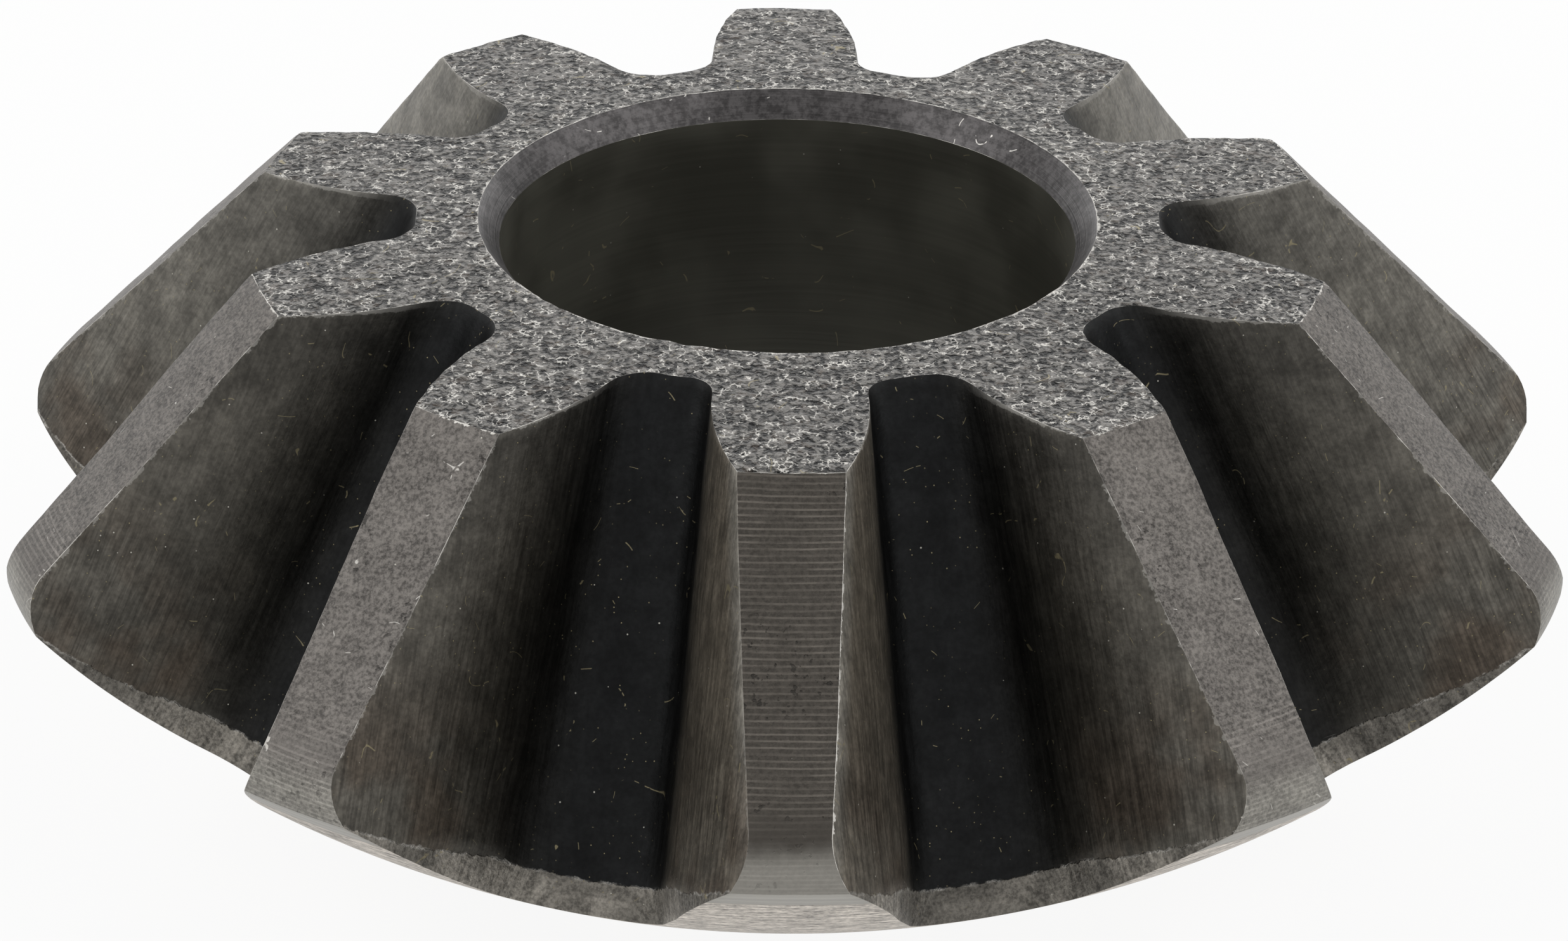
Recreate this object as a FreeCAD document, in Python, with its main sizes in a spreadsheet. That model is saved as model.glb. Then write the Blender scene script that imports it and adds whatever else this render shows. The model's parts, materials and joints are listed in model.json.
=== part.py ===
import FreeCAD, Part
import math
import os
import Sketcher
from FreeCAD import Vector

# Straight bevel pinion of a differential, forged in one piece and turned.
# The axis is Z. The small end of the teeth, the toe, is on top, and the
# spherical thrust back is below. The pinion rests on the ring where its back
# meets the bore chamfer, and that ring lies in the plane z = 0. One tooth
# points to -Y. Lengths are in millimetres and angles in degrees.
# A tooth space is drawn at the toe and grows in proportion to its distance
# from the cone apex, high on the axis, where all the flanks would meet.

NODE = "pinion_gear"

SIZES = [
    ("teeth", 10, "number of teeth"),
    ("bore_radius", 11.0, "bore that runs on the cross pin"),
    ("toe_chamfer_width", 0.8, "bore chamfer at the toe, across"),
    ("toe_chamfer_depth", 1.0, "bore chamfer at the toe, along the axis"),
    ("back_chamfer_width", 0.6, "bore chamfer at the back, across and along"),
    ("toe_height", 22.85, "height of the tooth tips at the toe"),
    ("toe_tip_radius", 20.7, "radius of the tooth tips at the toe"),
    ("toe_face_slope", 2.6, "rise of the toe face towards the bore"),
    ("face_cone_angle", 43.5, "half angle of the cone that the tooth tips lie on"),
    ("heel_round_radius", 2.25, "rounding between the tooth tips and the back"),
    ("heel_round_overhang", 0.3, "how far the whole rounding would reach past the spherical back"),
    ("back_sphere_radius", 43.0, "radius of the spherical thrust back"),
    ("apex_rise", 27.5, "height of the cone apex above the toe tips"),
    ("root_radius", 14.35, "radius of the tooth roots, at the toe"),
    ("root_fillet_radius", 1.0, "fillet between root and flank, at the toe"),
    ("tooth_thickness", 5.8, "thickness of a tooth at its foot, at the toe"),
    ("flank_start_radius", 15.5, "where the flanks begin to curve, at the toe"),
    ("flank_curve_radius", 13.8, "curve of a flank, at the toe"),
    ("heel_trim_height", 1.15, "sheared band at the heel end of a space, along the flank"),
    ("heel_trim_width", 0.2, "the same band, measured across the back"),
    ("cutter_overrun", 1.5, "how far a tooth space is drawn past the blank"),
]

# The numbers that a sketch gives to its own origin and upright axis, and to the points of a line or an arc.
ORIGIN, VERTICAL_AXIS = range(-1, -3, -1)
START, END, MIDDLE = range(1, 4)


def fill_sheet(doc):
    """Writes the driving dimensions, one row each: name, number, meaning."""
    sheet = doc.addObject("Spreadsheet::Sheet", "Sizes")
    for row, (name, value, meaning) in enumerate(SIZES, start=1):
        sheet.set("A%d" % row, name)
        sheet.set("B%d" % row, str(value))
        sheet.set("C%d" % row, meaning)
        sheet.setAlias("B%d" % row, name)
    doc.recompute()
    return sheet


def add_sketch(body, name, role):
    """Adds an empty sketch on one of the body's own origin planes."""
    sketch = body.newObject("Sketcher::SketchObject", name)
    plane = next(part for part in body.Origin.OriginFeatures if part.Role == role)
    sketch.AttachmentSupport = [(plane, "")]
    sketch.MapMode = "FlatFace"
    return sketch


def add_line(sketch, start, end, construction=False):
    """Adds a straight line and returns its number."""
    return sketch.addGeometry(Part.LineSegment(Vector(*start), Vector(*end)), construction)


def add_arc(sketch, centre, radius, start, end, construction=False):
    """Adds an arc that runs anticlockwise between two points, and returns its number."""
    first, last = (math.atan2(y - centre[1], x - centre[0]) for x, y in (start, end))
    circle = Part.Circle(Vector(*centre), Vector(0, 0, 1), radius)
    return sketch.addGeometry(Part.ArcOfCircle(circle, first, last), construction)


def fix(sketch, *rule):
    """Adds a constraint that has no size."""
    sketch.addConstraint(Sketcher.Constraint(*rule))


def size(sketch, kind, places, value, formula):
    """Adds a dimension and ties it to a formula of the sheet's cells."""
    number = sketch.addConstraint(Sketcher.Constraint(kind, *places, value))
    sketch.setExpression("Constraints[%d]" % number, formula)


def measure(sketch, name, *rule):
    """Adds a named dimension that only measures, for a formula to read."""
    number = sketch.addConstraint(Sketcher.Constraint(*rule))
    sketch.setDriving(number, False)
    sketch.renameConstraint(number, name)


def back_centre(sheet):
    """Height of the centre of the spherical back, which passes through the ring that the pinion rests on."""
    ring = sheet.bore_radius + sheet.back_chamfer_width
    return math.sqrt(sheet.back_sphere_radius ** 2 - ring ** 2)


def turned_blank(body, sheet):
    """Spins the section of the blank: bore, toe face, face cone, rounded heel and spherical back.

    Returns the radius and height at which the face cone ends in the heel rounding.
    """
    bore = sheet.bore_radius
    mouth = bore + sheet.toe_chamfer_width
    ring = bore + sheet.back_chamfer_width
    toe_top = sheet.toe_height + (sheet.toe_tip_radius - mouth) * math.tan(math.radians(sheet.toe_face_slope))
    toe_tip = (sheet.toe_tip_radius, sheet.toe_height)
    foot = (bore, sheet.back_chamfer_width)
    head = (bore, toe_top - sheet.toe_chamfer_depth)
    sphere = sheet.back_sphere_radius
    centre = (0.0, back_centre(sheet))

    # The heel arc touches the face cone, and its centre lies at a set distance from the sphere's.
    down = math.radians(sheet.face_cone_angle - 90.0)
    forward = (math.cos(down), math.sin(down))
    inward = (math.sin(down), -math.cos(down))
    rounding = sheet.heel_round_radius
    spread = sphere - rounding + sheet.heel_round_overhang
    offset = tuple(toe_tip[i] + rounding * inward[i] - centre[i] for i in range(2))
    ahead = sum(offset[i] * forward[i] for i in range(2))
    run = -ahead + math.sqrt(ahead ** 2 + spread ** 2 - offset[0] ** 2 - offset[1] ** 2)
    cone_end = tuple(toe_tip[i] + run * forward[i] for i in range(2))
    middle = tuple(cone_end[i] + rounding * inward[i] for i in range(2))

    # It ends on the sphere, at the outer of the two places where the circles cross.
    bearing = math.atan2(middle[1] - centre[1], middle[0])
    swing = math.acos((spread ** 2 + rounding ** 2 - sphere ** 2) / (2.0 * spread * rounding))
    end = bearing + math.pi - swing
    heel_end = (middle[0] + rounding * math.cos(end), middle[1] + rounding * math.sin(end))

    sketch = add_sketch(body, "blank_section", "XZ_Plane")
    wall = add_line(sketch, foot, head)
    toe_chamfer = add_line(sketch, head, (mouth, toe_top))
    toe_face = add_line(sketch, (mouth, toe_top), toe_tip)
    face_cone = add_line(sketch, toe_tip, cone_end)
    heel = add_arc(sketch, middle, rounding, heel_end, cone_end)
    back = add_arc(sketch, centre, sphere, (ring, 0.0), heel_end)
    back_chamfer = add_line(sketch, (ring, 0.0), foot)

    fix(sketch, "Coincident", wall, END, toe_chamfer, START)
    fix(sketch, "Coincident", toe_chamfer, END, toe_face, START)
    fix(sketch, "Coincident", toe_face, END, face_cone, START)
    fix(sketch, "Tangent", face_cone, END, heel, END)
    fix(sketch, "Coincident", heel, START, back, END)
    fix(sketch, "Coincident", back, START, back_chamfer, START)
    fix(sketch, "Coincident", back_chamfer, END, wall, START)
    fix(sketch, "Vertical", wall)
    fix(sketch, "PointOnObject", back, MIDDLE, VERTICAL_AXIS)
    fix(sketch, "PointOnObject", back, START, ORIGIN)
    size(sketch, "DistanceX", (ORIGIN, START, wall, START), bore, "Sizes.bore_radius")
    size(sketch, "DistanceX", (wall, START, back, START), ring - bore, "Sizes.back_chamfer_width")
    size(sketch, "DistanceY", (ORIGIN, START, wall, START), foot[1], "Sizes.back_chamfer_width")
    size(sketch, "DistanceX", (wall, END, toe_face, START), mouth - bore, "Sizes.toe_chamfer_width")
    size(sketch, "DistanceY", (wall, END, toe_face, START), toe_top - head[1], "Sizes.toe_chamfer_depth")
    size(sketch, "DistanceX", (ORIGIN, START, toe_face, END), toe_tip[0], "Sizes.toe_tip_radius")
    size(sketch, "DistanceY", (ORIGIN, START, toe_face, END), toe_tip[1], "Sizes.toe_height")
    size(sketch, "DistanceY", (toe_face, END, toe_face, START), toe_top - toe_tip[1],
         "(Sizes.toe_tip_radius - Sizes.bore_radius - Sizes.toe_chamfer_width) * tan(Sizes.toe_face_slope)")
    size(sketch, "Angle", (face_cone,), down, "Sizes.face_cone_angle - 90")
    size(sketch, "Radius", (heel,), rounding, "Sizes.heel_round_radius")
    size(sketch, "Distance", (back, MIDDLE, heel, MIDDLE), spread,
         "Sizes.back_sphere_radius - Sizes.heel_round_radius + Sizes.heel_round_overhang")
    size(sketch, "Radius", (back,), sphere, "Sizes.back_sphere_radius")
    measure(sketch, "heel_reach", "DistanceX", ORIGIN, START, face_cone, END, cone_end[0])
    measure(sketch, "heel_level", "DistanceY", ORIGIN, START, face_cone, END, cone_end[1])

    blank = body.newObject("PartDesign::Revolution", "turned_blank")
    blank.Profile = sketch
    blank.ReferenceAxis = (sketch, ["V_Axis"])
    blank.Angle = 360
    body.Document.recompute()
    return cone_end


def space_rim(sheet, cone_end):
    """Radius of the outer end of a tooth space at the toe, past all of the blank, and the formula for it."""
    heel = cone_end[0] * sheet.apex_rise / (sheet.toe_height + sheet.apex_rise - cone_end[1])
    reach = "blank_section.Constraints.heel_reach / 1mm * Sizes.apex_rise"
    rise = "(Sizes.toe_height + Sizes.apex_rise - blank_section.Constraints.heel_level / 1mm)"
    formula = "max(Sizes.toe_tip_radius; %s / %s) + Sizes.cutter_overrun" % (reach, rise)
    return max(sheet.toe_tip_radius, heel) + sheet.cutter_overrun, formula


def draw_flank(sketch, sheet, rim, side, scale, growth):
    """Draws one side of a tooth space, side 1 above the space's middle line and -1 below it.

    The tooth beside it points half a pitch away. Its flank runs parallel to
    the tooth's middle line at the foot, curves in towards the tip, and meets
    the root in a fillet. Returns the fillet and the curve.
    """
    half_pitch = math.radians(180.0 / sheet.teeth) * side
    along = (math.cos(half_pitch), math.sin(half_pitch))
    inward = (math.sin(half_pitch) * side, -math.cos(half_pitch) * side)
    half = sheet.tooth_thickness / 2.0
    fillet_radius = sheet.root_fillet_radius
    curve_radius = sheet.flank_curve_radius

    def place(forward, sideways):
        """A point by its distances along the tooth and from its middle line."""
        return tuple(scale * (forward * a + sideways * b) for a, b in zip(along, inward))

    start = sheet.flank_start_radius
    hub = sheet.root_radius + fillet_radius
    seat = math.sqrt(hub ** 2 - (half + fillet_radius) ** 2)
    fillet_centre = place(seat, half + fillet_radius)
    on_root = tuple(c * sheet.root_radius / hub for c in fillet_centre)
    curve_centre = place(start, half - curve_radius)

    # The curve ends on the rim circle; its end is found in the tooth's own frame.
    depth = curve_radius - half
    reach = math.hypot(start, depth)
    swing = math.acos((reach ** 2 + rim ** 2 - curve_radius ** 2) / (2.0 * reach * rim))
    tilt = swing - math.atan2(depth, start)
    on_rim = place(rim * math.cos(tilt), rim * math.sin(tilt))

    middle = add_line(sketch, (0.0, 0.0), place(start, 0.0), True)
    across = add_line(sketch, place(start, 0.0), place(start, half), True)
    straight = add_line(sketch, place(start, half), place(seat, half))
    ends = (place(start, half), on_rim)[::side]
    curve = add_arc(sketch, curve_centre, curve_radius * scale, *ends)
    ends = (place(seat, half), on_root)[::side]
    fillet = add_arc(sketch, fillet_centre, fillet_radius * scale, *ends)
    near, far = (START, END)[::side]

    fix(sketch, "Coincident", middle, START, ORIGIN, START)
    fix(sketch, "Coincident", middle, END, across, START)
    fix(sketch, "Perpendicular", middle, across)
    fix(sketch, "Coincident", across, END, straight, START)
    fix(sketch, "Perpendicular", across, straight)
    fix(sketch, "Coincident", curve, near, across, END)
    fix(sketch, "PointOnObject", curve, MIDDLE, across)
    fix(sketch, "Tangent", straight, END, fillet, near)
    size(sketch, "Angle", (middle,), half_pitch, "%d * 180 / Sizes.teeth" % side)
    size(sketch, "Distance", (middle,), start * scale, "Sizes.flank_start_radius * " + growth)
    size(sketch, "Distance", (across,), half * scale, "Sizes.tooth_thickness / 2 * " + growth)
    size(sketch, "Radius", (curve,), curve_radius * scale, "Sizes.flank_curve_radius * " + growth)
    size(sketch, "Radius", (fillet,), fillet_radius * scale, "Sizes.root_fillet_radius * " + growth)
    return fillet, curve, far, on_root, on_rim


def space_section(body, sheet, rim, name, height, height_formula):
    """Draws the outline of a tooth space in the plane at that height, out to the rim."""
    rim, rim_formula = rim
    scale = (sheet.toe_height + sheet.apex_rise - height) / sheet.apex_rise
    growth = "(Sizes.toe_height + Sizes.apex_rise - (%s)) / Sizes.apex_rise" % height_formula
    sketch = add_sketch(body, name, "XY_Plane")
    turn = 180.0 / sheet.teeth - 90.0
    sketch.AttachmentOffset = FreeCAD.Placement(Vector(0, 0, height), FreeCAD.Rotation(Vector(0, 0, 1), turn))
    sketch.setExpression("AttachmentOffset.Base.z", height_formula)
    sketch.setExpression("AttachmentOffset.Rotation.Angle", "180 / Sizes.teeth - 90")

    upper_fillet, upper_curve, upper_far, upper_root, upper_rim = draw_flank(sketch, sheet, rim, 1, scale, growth)
    lower_fillet, lower_curve, lower_far, lower_root, lower_rim = draw_flank(sketch, sheet, rim, -1, scale, growth)
    root = add_arc(sketch, (0.0, 0.0), sheet.root_radius * scale, lower_root, upper_root)
    outer = add_arc(sketch, (0.0, 0.0), rim * scale, lower_rim, upper_rim)

    fix(sketch, "Coincident", root, MIDDLE, ORIGIN, START)
    fix(sketch, "Coincident", outer, MIDDLE, ORIGIN, START)
    fix(sketch, "Tangent", root, END, upper_fillet, upper_far)
    fix(sketch, "Tangent", root, START, lower_fillet, lower_far)
    fix(sketch, "Coincident", outer, END, upper_curve, upper_far)
    fix(sketch, "Coincident", outer, START, lower_curve, lower_far)
    size(sketch, "Radius", (root,), sheet.root_radius * scale, "Sizes.root_radius * " + growth)
    size(sketch, "Radius", (outer,), rim * scale, "(%s) * %s" % (rim_formula, growth))
    return sketch


def tooth_spaces(body, sheet, cone_end):
    """Cuts one tooth space as a loft towards the apex, and repeats it round the axis."""
    rim = space_rim(sheet, cone_end)
    above = sheet.toe_height + sheet.cutter_overrun
    toe = space_section(body, sheet, rim, "space_above_toe", above, "Sizes.toe_height + Sizes.cutter_overrun")
    heel = space_section(body, sheet, rim, "space_below_heel", 0.0, "0")
    space = body.newObject("PartDesign::SubtractiveLoft", "tooth_space")
    space.Profile = toe
    space.Sections = [heel]
    space.Ruled = True

    ring = body.newObject("PartDesign::PolarPattern", "tooth_spaces")
    ring.Originals = [space]
    ring.Axis = (toe, ["N_Axis"])
    ring.Angle = 360
    ring.Occurrences = int(sheet.teeth)
    ring.setExpression("Occurrences", "Sizes.teeth")
    body.Tip = ring
    body.Document.recompute()
    return ring


def root_edges(sheet, shape):
    """Numbers the edges where the roots of the tooth spaces run out on the spherical back."""
    centre = Vector(0, 0, back_centre(sheet))
    growth = (sheet.toe_height + sheet.apex_rise) / sheet.apex_rise
    found = []
    for number, edge in enumerate(shape.Edges, start=1):
        points = edge.discretize(5)
        off_sphere = max(abs(point.distanceToPoint(centre) - sheet.back_sphere_radius) for point in points)
        radii = [math.hypot(point.x, point.y) for point in points]
        level = max(radii) - min(radii) < 0.001
        root = sheet.root_radius < max(radii) < sheet.root_radius * growth
        if off_sphere < 0.001 and level and root:
            found.append("Edge%d" % number)
    return found


def heel_bands(body, sheet, base):
    """The sheared band at the heel end of each space, where the flash was trimmed off."""
    names = root_edges(sheet, base.Shape)
    if len(names) < int(sheet.teeth):
        raise RuntimeError("expected a root edge for each space")
    band = body.newObject("PartDesign::Chamfer", "heel_bands")
    band.Base = (base, names)
    band.ChamferType = "Two distances"
    band.Size = sheet.heel_trim_width
    band.Size2 = sheet.heel_trim_height
    band.setExpression("Size", "Sizes.heel_trim_width")
    band.setExpression("Size2", "Sizes.heel_trim_height")
    body.Document.recompute()
    return band


def build():
    """Builds the document, checks it and writes the file."""
    doc = FreeCAD.newDocument("differential_pinion")
    sheet = fill_sheet(doc)
    body = doc.addObject("PartDesign::Body", NODE)
    body.Label = NODE
    body.Placement = FreeCAD.Placement()
    cone_end = turned_blank(body, sheet)
    ring = tooth_spaces(body, sheet, cone_end)
    heel_bands(body, sheet, ring)
    doc.recompute()
    for thing in doc.Objects:
        if "Invalid" in thing.State or "Error" in thing.State:
            raise RuntimeError("failed: " + thing.Name)
    shape = body.Shape
    if shape.isNull() or not shape.isValid():
        raise RuntimeError("the solid is not sound")
    os.makedirs("parts", exist_ok=True)
    shape.exportStep("parts/%s.step" % NODE)


build()
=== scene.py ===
import json
import math

import bpy
import numpy as np
from bpy.props import FloatProperty, FloatVectorProperty, IntProperty, PointerProperty
from mathutils import Euler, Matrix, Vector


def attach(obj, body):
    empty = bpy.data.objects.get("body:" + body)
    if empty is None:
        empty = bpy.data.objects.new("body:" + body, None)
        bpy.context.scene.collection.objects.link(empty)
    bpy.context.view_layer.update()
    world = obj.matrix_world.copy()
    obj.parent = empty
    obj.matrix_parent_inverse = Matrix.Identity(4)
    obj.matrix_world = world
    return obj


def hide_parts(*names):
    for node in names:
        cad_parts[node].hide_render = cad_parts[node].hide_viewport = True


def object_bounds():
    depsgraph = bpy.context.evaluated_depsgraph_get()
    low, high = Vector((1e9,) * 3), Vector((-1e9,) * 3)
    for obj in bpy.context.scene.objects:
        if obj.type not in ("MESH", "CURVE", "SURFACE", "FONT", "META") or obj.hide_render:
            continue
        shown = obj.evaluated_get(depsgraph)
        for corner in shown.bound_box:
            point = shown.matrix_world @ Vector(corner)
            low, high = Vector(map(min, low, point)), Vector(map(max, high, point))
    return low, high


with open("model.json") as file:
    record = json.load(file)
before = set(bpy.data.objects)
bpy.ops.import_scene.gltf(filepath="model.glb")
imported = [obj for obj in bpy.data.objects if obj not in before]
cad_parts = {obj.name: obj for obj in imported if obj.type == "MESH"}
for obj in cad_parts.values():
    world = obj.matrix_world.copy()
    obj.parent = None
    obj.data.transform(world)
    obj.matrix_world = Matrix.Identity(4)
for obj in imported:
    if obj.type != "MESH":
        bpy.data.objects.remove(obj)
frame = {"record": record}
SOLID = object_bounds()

bl_info = {
    "name": "Differential Pinion",
    "version": (1, 0, 0),
    "blender": (4, 5, 0),
    "location": "View3D > Sidebar > Pinion",
    "description": "Models a forged straight bevel pinion of a differential, with its finishes and a stage",
    "category": "Add Mesh",
}

MM = 0.001
BORE = next(mount for mount in frame["record"]["mounts"] if mount["name"] == "bore")
BORE_RADIUS = BORE["dims"]["r_mm"]
TOE_CHAMFER = 0.8
# Radius of the bore's mouth in the toe face. Like the two lines above it, it is in millimetres.
MOUTH_RADIUS = BORE_RADIUS + TOE_CHAMFER
# The tooth straight across the bore from the front one, which is tooth 0.
TOOTH_ACROSS = 5.0


def linear(code):
    """Turns an sRGB hex value into the linear colour that a material takes."""
    parts = (int(code[i:i + 2], 16) / 255 for i in (1, 3, 5))
    return tuple(part / 12.92 if part <= 0.04045 else ((part + 0.055) / 1.055) ** 2.4 for part in parts)


def length(name, value, description):
    """A length of the object, given in millimetres and kept in metres."""
    return FloatProperty(name=name, description=description, default=value * MM, unit="LENGTH", precision=5)


def angle(name, value, description):
    """An angle of the object, given in degrees and kept in radians."""
    return FloatProperty(name=name, description=description, default=math.radians(value), subtype="ANGLE")


def colour(name, code, description):
    """A colour of one finish, given as an sRGB hex value."""
    return FloatVectorProperty(name=name, description=description, default=linear(code), subtype="COLOR",
                               min=0.0, max=1.0)


class PinionSizes(bpy.types.PropertyGroup):
    """The sizes of the forging.

    They are the solid's own, except that the other root fillets and the band's height were
    fitted to the photograph, and that the relief and the edge width are only here.
    """

    teeth: IntProperty(name="Teeth", description="Number of teeth", default=10, min=6)
    bore_radius: length("Bore radius", BORE_RADIUS, "Bore that runs on the cross pin")
    toe_chamfer_width: length("Toe chamfer width", TOE_CHAMFER, "Bore chamfer at the toe, across")
    toe_chamfer_depth: length("Toe chamfer depth", 1.0, "Bore chamfer at the toe, along the axis")
    back_chamfer_width: length("Back chamfer", 0.6, "Bore chamfer at the back, across and along")
    toe_height: length("Toe height", 22.85, "Height of the tooth tips at the toe")
    toe_tip_radius: length("Toe tip radius", 20.7, "Radius of the tooth tips at the toe")
    toe_face_slope: angle("Toe face slope", 2.6, "Rise of the toe face towards the bore")
    face_cone_angle: angle("Face cone angle", 43.5, "Half angle of the cone of the tooth tips")
    heel_round_radius: length("Heel rounding", 2.25, "Rounding between the tooth tips and the back")
    heel_round_overhang: length("Heel overhang", 0.3, "How far the whole rounding would reach past the back")
    back_sphere_radius: length("Back radius", 43.0, "Radius of the spherical thrust back")
    apex_rise: length("Apex rise", 27.5, "Height of the cone apex above the toe tips")
    root_radius: length("Root radius", 14.35, "Radius of the tooth roots, at the toe")
    root_fillet_radius: length("Root fillet", 1.0, "Fillet between root and flank of the front tooth")
    side_fillet_radius: length("Other root fillets", 1.55, "The same on the other teeth")
    tooth_thickness: length("Tooth thickness", 5.8, "Thickness of a tooth at its foot, at the toe")
    flank_start_radius: length("Flank start", 15.5, "Where the flanks begin to curve, at the toe")
    flank_curve_radius: length("Flank curve", 13.8, "Curve of a flank, at the toe")
    band_height: length("Band height", 1.25, "Sheared band at the heel end of a space, along the flank")
    band_width: length("Band width", 0.2, "The same band, measured across the back")
    front_relief: length("Front tooth relief", 0.26, "How much each flank of the front tooth thins at the heel")
    side_relief: length("Other teeth's relief", 0.08, "The same on the other teeth")
    edge_width: length("Edge width", 0.055, "Most that a sharp edge is broken by; narrow faces hold it at about 0.01 mm")


class PinionColours(bpy.types.PropertyGroup):
    """The colours of the finishes."""

    # A flank runs from the root's colour to the flank tip's: dark oxide with painted shade towards the root, and
    # painted light beside the tip.
    flank: colour("Flank", "#393732", "Middle of a flank")
    flank_tip: colour("Flank tip", "#54514b", "Flank beside the tooth tip")
    # The front tooth's flanks are painted lighter, as painted light.
    front_flank_painted_light: colour("Front flank", "#6e675c", "Flanks of the grooved front tooth")
    # Painted light on flanks: the teeth across the bore, and a highlight beside the front tooth's tip.
    painted_light_flank: colour("Clean flank", "#827f78", "Flanks of the teeth across the bore")
    root: colour("Root", "#141516", "Bottom of a tooth space")
    stain: colour("Heat stain", "#453a30", "Brown stain near the heel")
    band: colour("Sheared band", "#7c7871", "Band where the flash was trimmed")
    land: colour("Tooth tip", "#6b6763", "Turned and blasted tooth tips")
    # The front tooth's tip is painted darker, as painted shade.
    front_land_painted_shade: colour("Grooved tooth tip", "#4b4742", "Tip of the tooth whose turned grooves still show")
    # The heel rounding is painted lighter than the tooth tips, as a reflection of the white floor; the back's
    # turned rim uses the same colour.
    heel: colour("Heel rounding", "#96938c", "Smooth turned rounding at the heel")
    toe: colour("Toe face", "#555350", "Blasted small end")
    dust: colour("Dust", "#bdbab0", "Specks of dust and shot")
    lint: colour("Lint", "#8d8468", "Fibres that cling to the steel")
    grit: colour("Grit", "#232220", "Pits and scale in the rough faces")
    # Besides bare metal, this colour paints glints on the toe face's rims and a highlight along the sheared band's
    # upper edge.
    bright: colour("Bright edge", "#c9c6c0", "Bare metal on edges and grains")
    bore: colour("Bore", "#4c4b43", "Bore wall")
    chamfer: colour("Chamfer", "#434141", "Bore chamfers")
    back: colour("Back", "#c4bdb4", "Spherical thrust back")


class StageSettings(bpy.types.PropertyGroup):
    """The floor, the lamps and the camera."""

    floor_size: FloatProperty(name="Floor size", description="Side of the floor", default=3.0, unit="LENGTH")
    floor_colour: colour("Floor", "#f2f2f1", "Plain pale floor")
    world_strength: FloatProperty(name="World", description="Strength of the even light", default=0.4)
    back_power: FloatProperty(name="Back lamp", description="Lamp behind", default=2.0, unit="POWER")
    side_power: FloatProperty(name="Side lamps", description="Each lamp beside", default=0.95, unit="POWER")
    lens: FloatProperty(name="Lens", description="Focal length of the camera", default=178.69, unit="CAMERA")


class Shape:
    """The same curves as the solid has, in metres.

    They are the rays from the apex, the outer contour and the tooth's outline.
    """

    def __init__(self, sizes):
        self.s = sizes
        self.apex = sizes.toe_height + sizes.apex_rise
        self.pitch = 2.0 * math.pi / sizes.teeth
        self.slope = math.tan(sizes.toe_face_slope)
        ring = sizes.bore_radius + sizes.back_chamfer_width
        self.ring = ring
        self.mouth = sizes.bore_radius + sizes.toe_chamfer_width
        self.sphere = sizes.back_sphere_radius
        self.centre = math.sqrt(self.sphere ** 2 - ring ** 2)

        down = sizes.face_cone_angle - math.pi / 2.0
        rounding = sizes.heel_round_radius
        forward = np.array([math.cos(down), math.sin(down)])
        inward = np.array([math.sin(down), -math.cos(down)])
        tip = np.array([sizes.toe_tip_radius, sizes.toe_height])
        spread = self.sphere - rounding + sizes.heel_round_overhang
        offset = tip + rounding * inward - np.array([0.0, self.centre])
        ahead = offset @ forward
        self.cone_run = -ahead + math.sqrt(ahead ** 2 + spread ** 2 - offset @ offset)
        self.tip, self.forward = tip, forward
        self.heel_middle = tip + self.cone_run * forward + rounding * inward
        bearing = math.atan2(self.heel_middle[1] - self.centre, self.heel_middle[0])
        swing = math.acos((spread ** 2 + rounding ** 2 - self.sphere ** 2) / (2.0 * spread * rounding))
        self.heel_from = math.pi / 2.0 + down
        self.heel_to = bearing + math.pi - swing
        if self.heel_to > self.heel_from:
            self.heel_to -= 2.0 * math.pi

        self.half = sizes.tooth_thickness / 2.0

    def growth(self, z):
        """How much larger the tooth outline is at that height than at the toe."""
        return (self.apex - z) / self.s.apex_rise

    def toe_z(self, r):
        """Height of the toe face."""
        return self.s.toe_height + (self.s.toe_tip_radius - r) * self.slope

    def back_z(self, r):
        """Height of the spherical back."""
        return self.centre - np.sqrt(self.sphere ** 2 - r ** 2)

    def ray_ends(self, ray):
        """Heights at which a ray from the apex meets the toe face and the back.

        The ray is named by its radius at the toe.
        """
        s = self.s
        k = ray / s.apex_rise
        rise = k * self.slope
        top = (s.toe_height + s.toe_tip_radius * self.slope - rise * self.apex) / (1.0 - rise)
        a = 1.0 + k * k
        b = self.centre + k * k * self.apex
        c = self.centre ** 2 + (k * self.apex) ** 2 - self.sphere ** 2
        return top, (b - np.sqrt(b * b - a * c)) / a

    def half_angle(self, ray):
        """Angle between the tooth's middle and its flank, at that radius of the toe outline."""
        s = self.s
        depth = s.flank_curve_radius - self.half
        reach = math.hypot(s.flank_start_radius, depth)
        cosine = (reach ** 2 + ray ** 2 - s.flank_curve_radius ** 2) / (2.0 * reach * ray)
        curved = np.arccos(np.clip(cosine, -1.0, 1.0)) - math.atan2(depth, s.flank_start_radius)
        straight = np.arcsin(np.clip(self.half / ray, -1.0, 1.0))
        start = math.hypot(s.flank_start_radius, self.half)
        return np.where(ray > start, curved, straight)

    def contour(self, count):
        """The outer contour from the toe tip along the face cone and round the heel, in equal steps."""
        arc = self.s.heel_round_radius * (self.heel_from - self.heel_to)
        run = np.linspace(0.0, self.cone_run + arc, count)
        cone = self.tip + np.minimum(run, self.cone_run)[:, None] * self.forward
        angle = self.heel_from - np.maximum(run - self.cone_run, 0.0) / self.s.heel_round_radius
        round_off = self.heel_middle + self.s.heel_round_radius * np.stack([np.cos(angle), np.sin(angle)], 1)
        return np.where((run < self.cone_run)[:, None], cone, round_off)


# Faces across each part of a tooth's side, and rows of points from toe to heel.
ROOT_STEPS, FILLET_STEPS, FLANK_STEPS, LAND_STEPS = 3, 6, 22, 10
MAIN_ROWS, BAND_ROWS = 48, 6
# Points on a curve before it is divided evenly.
FINE = 400
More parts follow.
